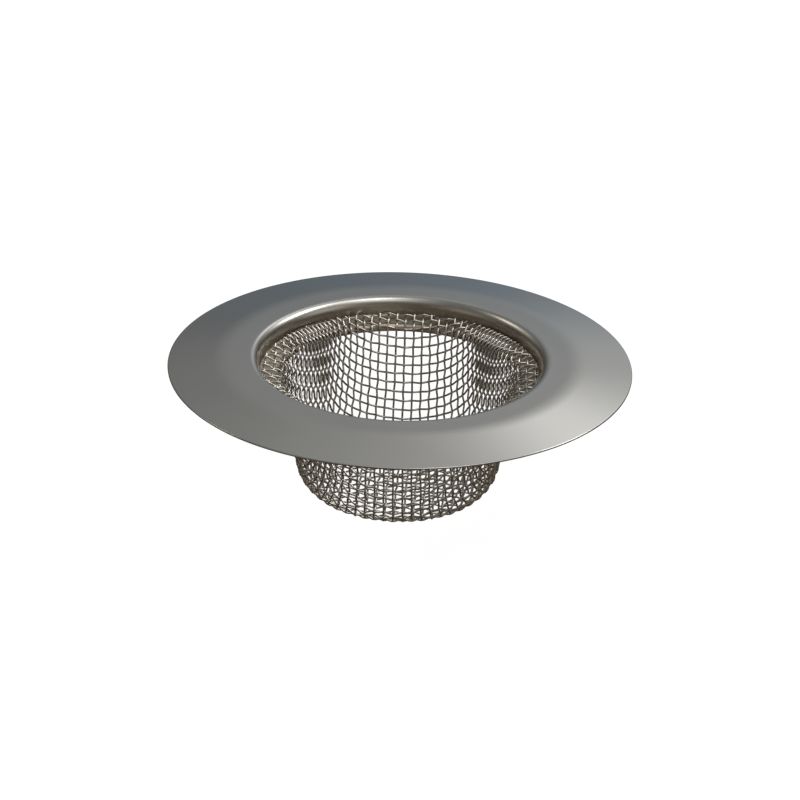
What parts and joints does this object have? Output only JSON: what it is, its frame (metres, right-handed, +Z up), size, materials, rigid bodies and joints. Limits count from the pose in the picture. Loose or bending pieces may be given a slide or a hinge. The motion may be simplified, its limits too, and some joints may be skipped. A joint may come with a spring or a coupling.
{
  "type": "basket strainer",
  "caption": "Drop-in sink basket strainer: a pressed steel rim with a deep cup of woven wire that catches solids and lets water drain through.",
  "frame": {"origin": "on the strainer's axis, in the plane that the underside of the rim's outer edge rests on", "axes": "+Z up along the axis, out of the cup's mouth; warp wires run along Y and weft wires along X"},
  "size_m": [0.114, 0.114, 0.0363],
  "materials": {
    "rim_steel": "satin flange with a polished bend into the throat",
    "wire_steel": "bright drawn wire, slightly dulled by forming"
  },
  "bodies": {
    "root": {"rim_flange": "rim_steel", "warp_wire_centre": "wire_steel", "warp_wire_pair_01": "wire_steel", "warp_wire_pair_02": "wire_steel", "warp_wire_pair_03": "wire_steel", "warp_wire_pair_04": "wire_steel", "warp_wire_pair_05": "wire_steel", "warp_wire_pair_06": "wire_steel", "warp_wire_pair_07": "wire_steel", "warp_wire_pair_08": "wire_steel", "warp_wire_pair_09": "wire_steel", "warp_wire_pair_10": "wire_steel", "warp_wire_pair_11": "wire_steel", "warp_wire_pair_12": "wire_steel", "warp_wire_pair_13": "wire_steel", "warp_wire_pair_14": "wire_steel", "warp_wire_pair_15": "wire_steel", "warp_wire_pair_16": "wire_steel", "warp_wire_pair_17": "wire_steel", "warp_wire_pair_18": "wire_steel", "warp_wire_pair_19": "wire_steel", "warp_wire_pair_20": "wire_steel", "warp_wire_pair_21": "wire_steel", "warp_wire_pair_22": "wire_steel", "warp_wire_pair_23": "wire_steel", "warp_wire_pair_24": "wire_steel", "weft_wire_centre": "wire_steel", "weft_wire_pair_01": "wire_steel", "weft_wire_pair_02": "wire_steel", "weft_wire_pair_03": "wire_steel", "weft_wire_pair_04": "wire_steel", "weft_wire_pair_05": "wire_steel", "weft_wire_pair_06": "wire_steel", "weft_wire_pair_07": "wire_steel", "weft_wire_pair_08": "wire_steel", "weft_wire_pair_09": "wire_steel", "weft_wire_pair_10": "wire_steel", "weft_wire_pair_11": "wire_steel", "weft_wire_pair_12": "wire_steel", "weft_wire_pair_13": "wire_steel", "weft_wire_pair_14": "wire_steel", "weft_wire_pair_15": "wire_steel", "weft_wire_pair_16": "wire_steel", "weft_wire_pair_17": "wire_steel", "weft_wire_pair_18": "wire_steel", "weft_wire_pair_19": "wire_steel", "weft_wire_pair_20": "wire_steel", "weft_wire_pair_21": "wire_steel", "weft_wire_pair_22": "wire_steel", "weft_wire_pair_23": "wire_steel", "weft_wire_pair_24": "wire_steel"}
  },
  "joints": []
}
